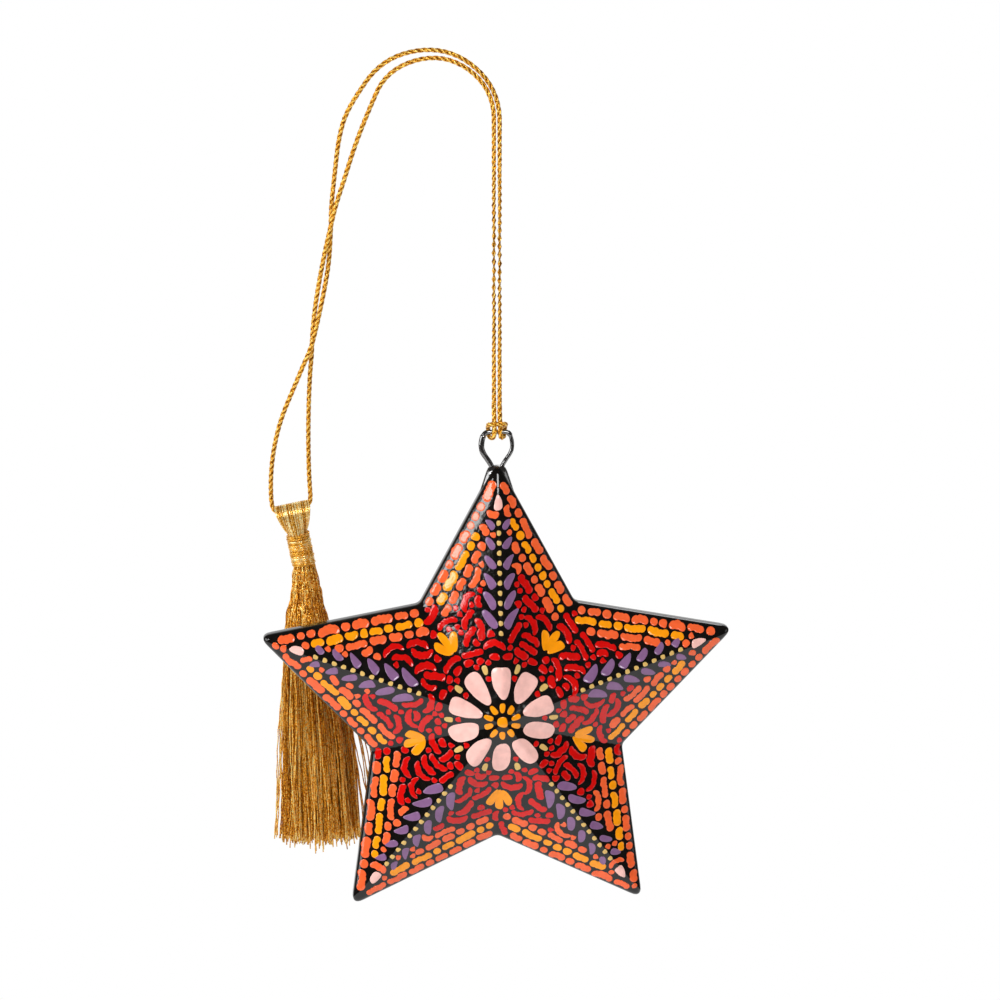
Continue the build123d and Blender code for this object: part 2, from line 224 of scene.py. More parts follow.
# Finishes
NOISE_SPAN = (0.3, 0.7)  # values that a noise mostly takes
GLINT_SIZE = 0.28        # grain of the glints on metallic thread
GLINT_GLOSS = 0.12       # how far their gloss swings
GLINT_DEPTH = 0.09       # their relief at full strength


def linear(code):
    """Scene colour of a hex screen colour."""
    parts = [int(code[k:k + 2], 16) / 255 for k in (1, 3, 5)]
    return tuple(p / 12.92 if p <= 0.04045 else ((p + 0.055) / 1.055) ** 2.4 for p in parts)


def feed(tree, socket, value):
    """A number for a socket, or a link to it from another node's output."""
    if isinstance(value, bpy.types.NodeSocket):
        tree.links.new(value, socket)
    else:
        socket.default_value = value


def combine(tree, operation, *values):
    """Result of a math operation on outputs or numbers."""
    made = tree.nodes.new("ShaderNodeMath")
    made.operation = operation
    for socket, value in zip(made.inputs, values):
        feed(tree, socket, value)
    return made.outputs[0]


def map_range(tree, value, start, end, low, high):
    """A value between start and end brought to the range from low to high."""
    made = tree.nodes.new("ShaderNodeMapRange")
    tree.links.new(value, made.inputs["Value"])
    for key, level in (("From Min", start), ("From Max", end), ("To Min", low), ("To Max", high)):
        made.inputs[key].default_value = level
    return made.outputs["Result"]


def mix_surface(tree, output, factor, first, second):
    """Two shaders mixed by a factor, as the surface at an output node."""
    made = tree.nodes.new("ShaderNodeMixShader")
    for socket, value in zip(made.inputs, (factor, first, second)):
        tree.links.new(value, socket)
    tree.links.new(made.outputs[0], tree.nodes[output].inputs["Surface"])


class Finish:
    """A surface finish: one principled shader and the nodes that feed it."""

    def __init__(self, name, colour, roughness, **values):
        self.material = bpy.data.materials.new(name)
        self.material.use_nodes = True
        self.tree = self.material.node_tree
        self.shader = self.tree.nodes["Principled BSDF"]
        self.shader.inputs["Base Color"].default_value = (*linear(colour), 1)
        self.shader.inputs["Roughness"].default_value = roughness
        for key, value in values.items():
            self.shader.inputs[key.replace("_", " ").title().replace("Ior", "IOR")].default_value = value

    def node(self, kind, **links):
        """A new node, with its inputs set to values or linked to other nodes' outputs."""
        made = self.tree.nodes.new(kind)
        for key, value in links.items():
            feed(self.tree, made.inputs[key.replace("_", " ").title()], value)
        return made

    def put(self, name, value):
        """A number or an output for one of the shader's inputs."""
        feed(self.tree, self.shader.inputs[name], value)

    def grain(self, size, detail=2.0):
        """Noise of this grain size in millimetres."""
        place = self.node("ShaderNodeTexCoord").outputs["Object"]
        scale = (1 / (size * MM),) * 3
        spread = self.node("ShaderNodeMapping", vector=place, scale=scale).outputs["Vector"]
        return self.node("ShaderNodeTexNoise", vector=spread, scale=1.0, detail=detail).outputs["Fac"]

    def attribute(self, name):
        """A value that the mesh holds for each vertex."""
        made = self.node("ShaderNodeAttribute")
        made.attribute_name = name
        return made.outputs["Fac"]

    def ramp(self, factor, *stops):
        """Colours along a factor: pairs of place and hex colour."""
        made = self.node("ShaderNodeValToRGB", fac=factor)
        bar = made.color_ramp.elements
        while len(bar) < len(stops):
            bar.new(1.0)
        for element, (place, colour) in zip(bar, stops):
            element.position = place
            element.color = (*linear(colour), 1)
        return made.outputs["Color"]

    def spread(self, factor, low, high):
        """The usual span of a noise brought to a low and a high value."""
        return map_range(self.tree, factor, *NOISE_SPAN, low, high)

    def bump(self, height, depth):
        """Relief of this depth in millimetres."""
        made = self.node("ShaderNodeBump", height=height, strength=1.0, distance=depth * MM)
        self.put("Normal", made.outputs["Normal"])


class Form:
    """Vertices in millimetres and faces, gathered before a mesh is made."""

    def __init__(self):
        self.vertices = []
        self.faces = []
        self.shades = []

    def add_rings(self, rings, shade=0.0, foot=True):
        """A skin through rings of points, closed at its last ring and, with a foot, at its first."""
        first = len(self.vertices)
        count = len(rings[0])
        for index, ring in enumerate(rings):
            self.vertices += ring
            self.shades += shade[index] if isinstance(shade, list) else [shade] * count
        for row in range(len(rings) - 1):
            start = first + row * count
            for k in range(count):
                after = (k + 1) % count
                self.faces.append((start + k, start + after, start + count + after, start + count + k))
        last = first + (len(rings) - 1) * count
        if foot:
            self.faces.append(tuple(range(first + count - 1, first - 1, -1)))
        self.faces.append(tuple(range(last, last + count)))

    def piece(self, name, finish, slot):
        """The mesh as a piece of the scene, with smooth faces."""
        mesh = bpy.data.meshes.new(name)
        mesh.from_pydata([Vector(v) * MM for v in self.vertices], [], self.faces)
        mesh.shade_smooth()
        shade = mesh.attributes.new("shade", "FLOAT", "POINT")
        shade.data.foreach_set("value", self.shades)
        mesh.materials.append(finish.material)
        made = bpy.data.objects.new(name, mesh)
        bpy.context.collection.objects.link(made)
        return made


def spline_points(route, steps):
    """Points along the smooth line that the route's points control."""
    curve = bpy.data.curves.new("route", "CURVE")
    curve.dimensions = "3D"
    curve.resolution_u = steps
    spline = curve.splines.new("NURBS")
    spline.points.add(len(route) - 1)
    for point, place in zip(spline.points, route):
        point.co = (*place, 1)
    spline.order_u = 3
    spline.use_endpoint_u = True
    line = bpy.data.objects.new("route", curve)
    mesh = bpy.data.meshes.new_from_object(line)
    points = [v.co.copy() for v in mesh.vertices]
    bpy.data.objects.remove(line)
    bpy.data.curves.remove(curve)
    bpy.data.meshes.remove(mesh)
    return points


def cross_frames(points):
    """Two directions across a line at each of its points, carried along it without twist."""
    frames = []
    side = None
    for k, point in enumerate(points):
        way = (points[min(k + 1, len(points) - 1)] - points[max(k - 1, 0)]).normalized()
        if side is None:
            side = way.orthogonal()
        side = (side - way * side.dot(way)).normalized()
        frames.append((side, way.cross(side)))
    return frames


def add_thread(form, points, radius, sides, shade):
    """Round thread along a line; the radius is one number, or one for each point."""
    rings = []
    for k, (point, (side, up)) in enumerate(zip(points, cross_frames(points))):
        size = radius[k] if isinstance(radius, list) else radius
        turns = [2 * math.pi * n / sides for n in range(sides)]
        rings.append([point + (side * math.cos(t) + up * math.sin(t)) * size for t in turns])
    form.add_rings(rings, shade)


def add_twisted_cord(form, points):
    """Plies twisted together along a line, with a painted highlight on their crests and painted shade between
    them.
    """
    ply = PLY_SHARE * CORD / 2
    offset = CORD / 2 - ply
    rings, shades = [], []
    run = 0.0
    for k, (point, (side, up)) in enumerate(zip(points, cross_frames(points))):
        if k:
            run += (point - points[k - 1]).length
        ring, shade = [], []
        for n in range(CORD_SIDES):
            around = 2 * math.pi * n / CORD_SIDES
            away = (around + math.pi / CORD_PLIES) % (2 * math.pi / CORD_PLIES) - math.pi / CORD_PLIES
            reach = offset * math.cos(away) + math.sqrt(ply**2 - (offset * math.sin(away)) ** 2)
            turn = around + 2 * math.pi * run / PLY_PITCH
            ring.append(point + (side * math.cos(turn) + up * math.sin(turn)) * reach)
            # Painted light: the shade value is highest on a ply's crest and lowest in the groove between
            # plies.
            shade.append(1 - abs(away) * CORD_PLIES / math.pi)
        rings.append(ring)
        shades.append(shade)
    form.add_rings(rings, shades)


def gold_finish(name, dark, middle, light, roughness, glitter):
    """Metallic thread: colour by its shade, with fine glints of this strength, partly painted into the colour
    and partly made by gloss and relief.
    """
    finish = Finish(name, middle, roughness, metallic=0.5, specular_ior_level=0.2)
    glint = finish.grain(GLINT_SIZE, detail=1.0)
    # Painted glints: fine noise lightens and darkens the colour, standing in for the glints of crimped
    # metallic thread.
    painted_glint = finish.spread(glint, -glitter, glitter)
    level = combine(finish.tree, "ADD", painted_glint, finish.attribute("shade"))
    finish.put("Base Color", finish.ramp(level, (0.0, dark), (0.5, middle), (1.0, light)))
    finish.put("Roughness", finish.spread(glint, roughness + GLINT_GLOSS, roughness - GLINT_GLOSS))
    finish.bump(glint, GLINT_DEPTH * glitter)
    return finish


# The cord's dark and light colours carry that painted shade in the grooves and the painted highlight on the
# crests.
cord_gold = gold_finish("cord_gold", "#703c03", "#f2a01a", "#ffda74", 0.28, 0.5)


def head_points(side, corners):
    """Corners along the passage through the tassel's head, on one side of its middle."""
    return [HEAD_PLACE @ Vector((side * along, 0, up)) for along, up in corners]


def add_strand(name, node, route, side, with_pieces):
    """One strand of the doubled cord, from the hitch over the top bend and into the tassel's head."""
    points = spline_points([Vector(p) for p in route] + head_points(side, LEG_CORNERS), CORD_STEPS)
    form = Form()
    add_twisted_cord(form, points)
    strand = form.piece(name, cord_gold, "gold_cord")
    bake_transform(strand)
    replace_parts(strand, node)


def add_hitch():
    """The lark's head on the wire eye, in the same cord."""
    half = [Vector(p) for p in HITCH_HALF]
    mirrored = [Vector((-p.x, p.y, p.z)) for p in reversed(half)]
    points = spline_points([EYE_TOP + p for p in mirrored + half], CORD_STEPS)
    form = Form()
    add_twisted_cord(form, points)
    hitch = form.piece("hitch", cord_gold, "gold_cord")
    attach(hitch, "hitch")
    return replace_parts(hitch, "cord_hitch")


def add_end_knot():
    """The cord's two ends, tied tight inside the head."""
    points = []
    for k in range(KNOT_STEPS + 1):
        turn = 2 * math.pi * k / KNOT_STEPS
        ring = 2 + math.cos(3 * turn)
        across, up = ring * math.cos(2 * turn) / KNOT_RING, ring * math.sin(2 * turn) / KNOT_RING
        points.append(HEAD_PLACE @ (Vector((math.sin(3 * turn), across, up)) * KNOT_SIZE))
    form = Form()
    add_thread(form, points, CORD / 5, KNOT_SIDES, 0.5)
    knot = form.piece("end_knot", cord_gold, "gold_cord")
    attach(knot, "cord")
    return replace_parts(knot, "cord_end_knot")


add_strand("outer_strand", "cord_outer_strand", OUTER_ROUTE, -1, [add_end_knot()])
add_strand("inner_strand", "cord_inner_strand", INNER_ROUTE, 1, [add_hitch()])


def soft_size(value, width):
    """Size of a number without its sign, rounded off below this width."""
    return abs(value) if abs(value) > width else (value**2 / width + width) / 2


def arm_reach(across, along):
    """Distance from the middle to the edge line through a point, with soft ridges and valleys."""
    radius = math.hypot(across, along)
    turn = math.atan2(across, along)
    nearest = round(turn / ARM_TURN)
    beside = nearest + (1 if turn > nearest * ARM_TURN else -1)
    tip_share = min(max((radius / TIP_RADIUS - TIP_START) / (1 - TIP_START), 0), 1)
    ridge_soft = RIDGE_SOFT + (TIP_SOFT - RIDGE_SOFT) * tip_share**2

    def reach(arm):
        off = turn - arm * ARM_TURN
        side = soft_size(radius * math.sin(off), ridge_soft)
        return radius * math.cos(off) * math.sin(HALF_POINT) + side * math.cos(HALF_POINT)

    first, second = reach(nearest), reach(beside)
    return (first + second - soft_size(first - second, RIDGE_SOFT)) / 2


def lump(across, along, side):
    """Slight unevenness of the hand-finished surface."""
    place = Vector((across, side * LUMP_SHIFT, along))
    fine = noise.noise(place * LUMP_FINER / LUMP_SIZE)
    return LUMP * (noise.noise(place / LUMP_SIZE) + FINE_LUMP * fine)


def facet_height(across, along, side):
    """Height of the facets, and of the rounded edge, above the seam."""
    inset = APOTHEM - soft_size(arm_reach(across, along), CROWN_SOFT)
    if inset < RIM_INSET:
        bend = math.acos(1 - max(inset, 0) / RIM_ROUND)
        return RIM_WALL + RIM_ROUND * math.sin(bend)
    fade = min((inset - RIM_INSET) / LUMP_FADE, 1)
    return RIM_HEIGHT + FACET_RISE * inset + fade * lump(across, along, side)


def star_turns():
    """Angles round the star, closer together at the ridges and valleys."""
    steps = [k / ARM_STEPS for k in range(ARM_STEPS)]
    half = [ARM_TURN / 2 * (s - math.sin(2 * math.pi * s) / (2 * math.pi)) for s in steps]
    arm = half + [ARM_TURN - t for t in [ARM_TURN / 2, *reversed(half[1:])]]
    return [k * ARM_TURN + t for k in range(POINTS) for t in arm]


def star_half(side):
    """Skin of one moulded half: straight edge, rounded rim, facets and the softened middle."""
    levels = [(0.0, 0.0), (0.0, RIM_WALL / 2)]
    for k in range(RIM_STEPS + 1):
        bend = RIM_TURN * k / RIM_STEPS
        levels.append((RIM_ROUND * (1 - math.cos(bend)), RIM_WALL + RIM_ROUND * math.sin(bend)))
    for k in range(1, FACET_STEPS + 1):
        levels.append((RIM_INSET + (FACET_END * APOTHEM - RIM_INSET) * k / FACET_STEPS, None))
    rings = []
    for inset, height in levels:
        ring = []
        for turn in star_turns():
            radius = TIP_RADIUS
            for _ in range(REACH_PASSES):
                radius *= (APOTHEM - inset) / arm_reach(radius * math.sin(turn), radius * math.cos(turn))
            across, along = radius * math.sin(turn), radius * math.cos(turn)
            depth = facet_height(across, along, side) if height is None else height
            ring.append(STAR_CENTRE + Vector((across, side * depth, along)))
        rings.append(ring if side < 0 else ring[::-1])
    form = Form()
    form.add_rings(rings)
    return form


def lacquer_finish():
    """Black lacquer over moulded paper: deep gloss with a faint ripple."""
    finish = Finish("black_lacquer", "#0c0907", 0.1, specular_ior_level=0.55)
    ripple = finish.grain(0.9, detail=3.0)
    finish.put("Roughness", finish.spread(finish.grain(2.5), 0.04, 0.09))
    finish.put("Base Color", finish.ramp(ripple, (0.35, "#070504"), (0.7, "#110d0a")))
    finish.bump(ripple, 0.02)
    return finish


lacquer = lacquer_finish()


def add_star():
    """The two moulded halves, with a sharp edge at the seam."""
    for side, name, node in ((-1, "star_front", "star_front_shell"), (1, "star_back", "star_back_shell")):
        half = star_half(side).piece(name, lacquer, "black_lacquer")
        for edge in half.data.edges:
            edge.use_edge_sharp = all(abs(half.data.vertices[v].co.y) < SEAM_NEAR for v in edge.vertices)
        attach(half, "star")
        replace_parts(half, node)


add_star()

# Painted pattern: rows of dabs along the edges, a leaf spray on each ridge, a tulip in each valley,
# a rosette in the middle and loose dabs between them
PAINTS = {
    "coral": "#f56432",
    "red": "#d10603",
    "pink": "#f9c3b9",
    "amber": "#ff9c07",
    "purple": "#86608a",
    "gold": "#dcb568",
}
ROW_INSET = 1.05
ROW_STEP = 1.45
ROW_COLOURS = ("coral", "amber", "coral")
ROW_LENGTHS = (1.3, 1.5, 2.2, 2.8, 3.6)
ROW_ENDS = (0.9, 0.4)    # a row's distance from its ridge and from its valley
ROW_START_PLAY = 0.5     # how much further from the ridge a row may start
ROW_GAPS = (0.2, 0.35)
ROW_WIDTHS = (0.85, 1.12)  # shares of the dabs' width
ROW_TURN = 0.12          # how far a dab turns from its row
ROW_BEND = 0.08          # how far it bends, as a share of its length
FILL_STEP = 0.3          # spacing of the places tried for the loose dabs between the motifs
FILL_LENGTHS = (3.6, 2.8, 2.0, 1.3, 0.9)
FILL_ENDS = (0.7, 0.6)   # their distance from the ridge and from the valley
FILL_MIDDLE = 4          # reach at which they stop towards the middle
FILL_WIDTH = 1.15
FILL_WIDTHS = (0.85, 1.1)  # shares of that width
FILL_TURN = 1.3          # how far they turn from the edge
FILL_BEND = 0.25         # how far they bend, as a share of their length
FILL_RED = 21.5          # the loose dabs are red this far from the middle, then coral
CELL = 3.0               # the dabs are looked up in squares of this size
DAB_WIDTH = 1.25
DAB_GAP = 0.1
DOT_STEP = 0.62          # spacing of the dots that run together, as a share of their width
EDGE_GAP = 0.3
DAB_RISE = 0.03
DAB_LEVELS = ((1.0, -0.5), (0.95, 0.8), (0.75, 1.0), (0.5, 1.0), (0.25, 1.0), (0.03, 1.0))
DOT_SIZES = (0.85, 1.1)  # sizes of the dots inside a row, as shares of its width
DOT_STRAY = 0.12         # how far they lie off its line, as a share of its width
PETAL_WAVE = 0.06        # unevenness of a single dab's edge
# Leaf spray: stem of dots, pairs of leaves that grow smaller outwards, and a bud
SPRAY_REACH = (13.5, 36.0)
SPRAY_WIDE = 3.3         # half width that it takes at its start
SPRAY_TAPER = 2.1        # how much narrower it is at its end
STEM_DOTS = 12
STEM_START = 13.8
STEM_STEP = 1.55
LEAF_PAIRS = 6
LEAF_START = 14.6
LEAF_STEP = 3.05
LEAF_LENGTH = 3.4
LEAF_SHORTER = 0.3
LEAF_WIDTH = 1.4
LEAF_NARROWER = 0.08
LEAF_TURN = 0.6
LEAF_TAPER = 0.35
LEAF_BEND = 0.15
LEAF_FOOT = 0.75         # distance of a leaf's foot from the ridge
BUD_PLACE = 34.0
# Tulip: heading of each petal from the valley, and its length
TULIP_PETALS = ((0.0, 3.6), (-0.55, 3.2), (0.55, 3.2))
TULIP_PLACE = 12.2
TULIP_GAP = 0.4          # from there to the feet of the petals
TULIP_REACH = 17.2
TULIP_WIDE = 2.5
ROSETTE = 11.4           # radius of the middle that the rosette takes
# Rosette: colour, distance from the middle, turn from a petal, heading, length, width, taper
ROSETTE_DABS = (
    ("pink", 6.2, 0.0, 0.0, 5.2, 2.9, -0.25),
    ("amber", 2.3, 0.0, 0.0, 1.5, 0.95, 0.0),
    ("gold", 8.4, ARM_TURN / 4, 0.0, 1.5, 0.9, 0.0),
    ("red", 10.2, -ARM_TURN / 12, math.pi / 2, 1.7, 1.1, 0.0),
    ("red", 10.2, ARM_TURN / 12, math.pi / 2, 1.7, 1.1, 0.0),
)


def on_arm(arm, along, across, heading, out, off):
    """Place on the star of a point of a dab: out along the dab, and off to its side."""
    turn = arm * ARM_TURN
    a = along + out * math.cos(heading) - off * math.sin(heading)
    b = across + out * math.sin(heading) + off * math.cos(heading)
    return a * math.sin(turn) + b * math.cos(turn), a * math.cos(turn) - b * math.sin(turn)


class Painting:
    """Dabs of paint on one side of the star, gathered by colour."""

    def __init__(self, side, seed):
        self.side = side
        self.random = random.Random(seed)
        self.forms = {colour: Form() for colour in PAINTS}
        self.cells = {}

    def dab(self, colour, arm, along, across, heading, length, width, taper=0.0, bend=0.0, dots=1):
        """One dab in an arm's own plane: along its ridge, and across from it; several dots run together."""
        for spot in self.round_spots(arm, along, across, heading, length, width, bend):
            self.cells.setdefault((spot[0] // CELL, spot[1] // CELL), []).append(spot)
        outline = self.dots(length, width, dots) if dots > 1 else self.petal(length, width, taper)
        rings = []
        for share, rise in DAB_LEVELS:
            ring = []
            for far, wide in outline:
                out = share * far
                off = share * wide + bend * (2 * out / length) ** 2
                x, z = on_arm(arm, along, across, heading, out, off)
                y = facet_height(x, z, self.side) + rise * DAB_RISE
                ring.append(STAR_CENTRE + Vector((x, self.side * y, z)))
            rings.append(ring if self.side > 0 else ring[::-1])
        self.forms[colour].add_rings(rings, foot=False)

    def petal(self, length, width, taper):
        """Edge of a single dab, along it and across it: a soft uneven oval."""
        swing = [self.random.uniform(0, 2 * math.pi) for _ in range(2)]
        sides = max(16, round(9 * length))
        edge = []
        for k in range(sides):
            around = 2 * math.pi * k / sides
            slow, quick = math.sin(2 * around + swing[0]), math.sin(3 * around + swing[1])
            wave = 1 + PETAL_WAVE * slow + PETAL_WAVE * quick
            far = math.copysign(abs(math.cos(around)) ** 0.75, math.cos(around)) * length / 2 * wave
            wide = math.copysign(abs(math.sin(around)) ** 0.85, math.sin(around)) * width / 2 * wave
            edge.append((far, wide * (1 - taper * math.cos(around))))
        return edge

    def dots(self, length, width, count):
        """Edge of a row of round dots that run together, along it and across it."""
        reach = (length - width) / 2
        row = [(-reach, width / 2, 0.0)]
        for k in range(1, count - 1):
            size = width / 2 * self.random.uniform(*DOT_SIZES)
            off = width * self.random.uniform(-DOT_STRAY, DOT_STRAY)
            row.append((reach * (2 * k / (count - 1) - 1), size, off))
        row.append((reach, width / 2, 0.0))
        sides = max(16, round(14 * length))
        edge = []
        for k in range(sides):
            around = 2 * math.pi * k / sides
            far = length / 2 * math.cos(around)
            hand = math.copysign(1, math.sin(around))
            wide = max(
                hand * off + math.sqrt(max(size**2 - (far - place) ** 2, 0)) for place, size, off in row
            )
            edge.append((far, hand * wide))
        return edge

    def round_spots(self, arm, along, across, heading, length, width, bend):
        """Round spots that together cover a dab: across the star, up the star, and radius."""
        count = max(1, round(1.5 * length / width))
        spots = []
        for k in range(count):
            out = (length - width) * (k / (count - 1) - 0.5) if count > 1 else 0
            off = bend * (2 * out / length) ** 2
            spots.append((*on_arm(arm, along, across, heading, out, off), width / 2))
        return spots

    def dot_row(self, colour, arm, along, across, heading, length, width, bend):
        """Dots that run together into one bent dab."""
        dots = 1 + math.ceil((length - width) / (DOT_STEP * width))
        self.dab(colour, arm, along, across, heading, length, width, bend=bend, dots=dots)

    def fits(self, spots):
        """Whether a dab of these spots keeps its distance from the edge and from all the others."""
        for x, z, size in spots:
            if arm_reach(x, z) + size > APOTHEM - EDGE_GAP:
                return False
            for i, j in itertools.product((-1, 0, 1), repeat=2):
                for p, q, other in self.cells.get((x // CELL + i, z // CELL + j), ()):
                    if math.hypot(x - p, z - q) < size + other + DAB_GAP:
                        return False
        return True

    def fill(self, arm, hand, length):
        """Loose dabs of one length between the others, red near the middle and coral further out."""
        reach = APOTHEM - ROW_INSET
        while reach > FILL_MIDDLE:
            run = FILL_ENDS[0]
            while run < EDGE_LENGTH * reach / APOTHEM - FILL_ENDS[1]:
                a = CORNER_RADIUS * reach / APOTHEM - run * math.cos(HALF_POINT)
                b = hand * run * math.sin(HALF_POINT)
                heading = hand * (math.pi - HALF_POINT) + self.random.uniform(-FILL_TURN, FILL_TURN)
                width = min(length, FILL_WIDTH * self.random.uniform(*FILL_WIDTHS))
                bend = self.random.uniform(-FILL_BEND, FILL_BEND) * length
                if self.fits(self.round_spots(arm, a, b, heading, length, width, bend)):
                    colour = "red" if math.hypot(a, b) < FILL_RED else "coral"
                    self.dot_row(colour, arm, a, b, heading, length, width, bend)
                run += FILL_STEP
            reach -= FILL_STEP

    def rows(self, arm, hand):
        """Rows of dabs along one edge of an arm, from its ridge to its valley."""
        for row, colour in enumerate(ROW_COLOURS):
            inset = ROW_INSET + row * ROW_STEP
            share = 1 - inset / APOTHEM
            ridge = share * CORNER_RADIUS
            run = ROW_ENDS[0] + self.random.uniform(0, ROW_START_PLAY)
            while True:
                length = self.random.choice(ROW_LENGTHS)
                end = run + length
                if end > EDGE_LENGTH * share - ROW_ENDS[1]:
                    break
                places = [(ridge - s * math.cos(HALF_POINT), s * math.sin(HALF_POINT)) for s in (run, end)]
                if all(self.free(a, b) for a, b in places):
                    a, b = [(p + q) / 2 for p, q in zip(*places)]
                    heading = hand * (math.pi - HALF_POINT) + self.random.uniform(-ROW_TURN, ROW_TURN)
                    width = DAB_WIDTH * self.random.uniform(*ROW_WIDTHS)
                    bend = self.random.uniform(-ROW_BEND, ROW_BEND) * length
                    self.dot_row(colour, arm, a, hand * b, heading, length, width, bend)
                run = end + self.random.uniform(*ROW_GAPS)

    def free(self, along, across):
        """Whether a place lies outside the rosette, the leaf spray and the tulip."""
        radius = math.hypot(along, across)
        valley = radius * math.sin(ARM_TURN / 2 - math.atan2(across, along))
        start, end = SPRAY_REACH
        in_spray = start < along < end and across < SPRAY_WIDE - SPRAY_TAPER * (along - start) / (end - start)
        in_tulip = radius < TULIP_REACH and valley < TULIP_WIDE
        return radius > ROSETTE and not in_spray and not in_tulip

    def spray(self, arm):
        """Stem of dots on the ridge, with pairs of leaves and a bud."""
        for k in range(STEM_DOTS):
            self.dab("gold", arm, STEM_START + STEM_STEP * k, 0, 0, 0.8, 0.75)
        for k in range(LEAF_PAIRS):
            length = LEAF_LENGTH - LEAF_SHORTER * k
            width = LEAF_WIDTH - LEAF_NARROWER * k
            out = LEAF_FOOT + length / 2 * math.sin(LEAF_TURN)
            along = LEAF_START + LEAF_STEP * k + length / 2 * math.cos(LEAF_TURN)
            for hand in (-1, 1):
                heading, bend = hand * LEAF_TURN, hand * LEAF_BEND
                self.dab("purple", arm, along, hand * out, heading, length, width, LEAF_TAPER, bend)
        self.dab("pink", arm, BUD_PLACE, 0, 0, 2.4, 1.3, taper=0.4)

    def tulip(self, arm):
        """Three petals in the valley after an arm."""
        valley = ARM_TURN / 2
        for off, length in TULIP_PETALS:
            heading = valley + off
            a = TULIP_PLACE * math.cos(valley) + (TULIP_GAP + length / 2) * math.cos(heading)
            b = TULIP_PLACE * math.sin(valley) + (TULIP_GAP + length / 2) * math.sin(heading)
            self.dab("amber", arm, a, b, heading, length, 1.3, taper=-0.3)

    def rosette(self, arm):
        """One fifth of the flower in the middle."""
        for petal in (0.0, ARM_TURN / 2):
            for colour, radius, off, heading, length, width, taper in ROSETTE_DABS:
                turn = petal + off
                a, b = radius * math.cos(turn), radius * math.sin(turn)
                self.dab(colour, arm, a, b, turn + heading, length, width, taper)

    def cover(self):
        """The whole pattern, the motifs first and then the loose dabs between them."""
        for arm in range(POINTS):
            for hand in (-1, 1):
                self.rows(arm, hand)
            self.spray(arm)
            self.tulip(arm)
            self.rosette(arm)
        self.dab("amber", 0, 0, 0, 0, 1.7, 1.7)
        for length, arm, hand in itertools.product(FILL_LENGTHS, range(POINTS), (-1, 1)):
            self.fill(arm, hand, length)


def paint_finish(name, colour):
    """Opaque paint under a clear glossy coat, a little uneven in tone."""
    finish = Finish(
        f"paint_{name}", colour, 0.5, specular_ior_level=0.0, coat_weight=1.0, coat_roughness=0.07
    )
    tone = finish.node("ShaderNodeHueSaturation", color=(*linear(colour), 1))
    feed(finish.tree, tone.inputs["Value"], finish.spread(finish.grain(1.2), 0.9, 1.06))
    finish.put("Base Color", tone.outputs["Color"])
    return finish


def add_painting():
    """Dabs of each colour on both sides of the star."""
    front, back = Painting(-1, 3), Painting(1, 8)
    for painting in (front, back):
        painting.cover()
    for name, colour in PAINTS.items():
        finish = paint_finish(name, colour)
        for place, painting in (("front", front), ("back", back)):
            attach(painting.forms[name].piece(f"dabs_{place}_{name}", finish, "black_lacquer"), "star")


add_painting()


def wire_finish():
    """Wire under uneven black lacquer that catches the light."""
    finish = Finish("black_wire", "#15110f", 0.12, ior=2.0, specular_ior_level=1.0)
    finish.bump(finish.grain(0.6, detail=3.0), 0.06)
    return finish


def add_wire_eye():
    """Lacquered wire loop, thicker on its left than on its right, with a collar of lacquer at its foot."""
    tip = STAR_CENTRE + Vector((0, 0, TIP_RADIUS))
    half = [Vector((x, 0, z)) for x, z in EYE_HALF]
    left = [Vector((-p.x, 0, p.z)) for p in half]
    points = spline_points(left + half[::-1], WIRE_STEPS)
    radii = []
    for point in points:
        swell = -point.x / LOOP_HALF if 0.0 < point.z < LOOP_TOP else 0.0
        radii.append(WIRE / 2 * (1 + WIRE_SWELL * swell + WIRE_UNEVEN * noise.noise(point * 1.1)))
    form = Form()
    add_thread(form, [tip + p for p in points], radii, WIRE_SIDES, 0.0)
    turns = [2 * math.pi * k / COLLAR_SIDES for k in range(COLLAR_SIDES)]
    rings = []
    for height, wide in reversed(EYE_COLLAR):
        deep = min(COLLAR_FLAT * wide, COLLAR_DEPTH)
        rings.append([tip + Vector((wide * math.cos(t), deep * math.sin(t), height)) for t in turns])
    form.add_rings(rings)
    eye = form.piece("eye", wire_finish(), "black_wire")
    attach(eye, "star")
    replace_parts(eye, "wire_eye")


add_wire_eye()


def pulp_finish():
    """Rough dried paper pulp."""
    finish = Finish("paper_pulp", "#c4b49a", 0.9)
    fibre = finish.grain(0.8, detail=6.0)
    finish.put("Base Color", finish.ramp(fibre, (0.3, "#a8977c"), (0.7, "#d8cab2")))
    finish.bump(fibre, 0.2)
    return finish


plug_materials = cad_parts["eye_anchor_plug"].data.materials
plug_materials.clear()
plug_materials.append(pulp_finish().material)

thread_gold = gold_finish("thread_gold", "#965606", "#f8a81e", "#ffe48c", 0.34, 0.58)
binding_gold = gold_finish("binding_gold", "#905608", "#f6b238", "#fff4b8", 0.2, 0.32)


def smooth(share):
    """A share from 0 to 1 that starts and ends slowly."""
    return share * share * (3 - 2 * share)


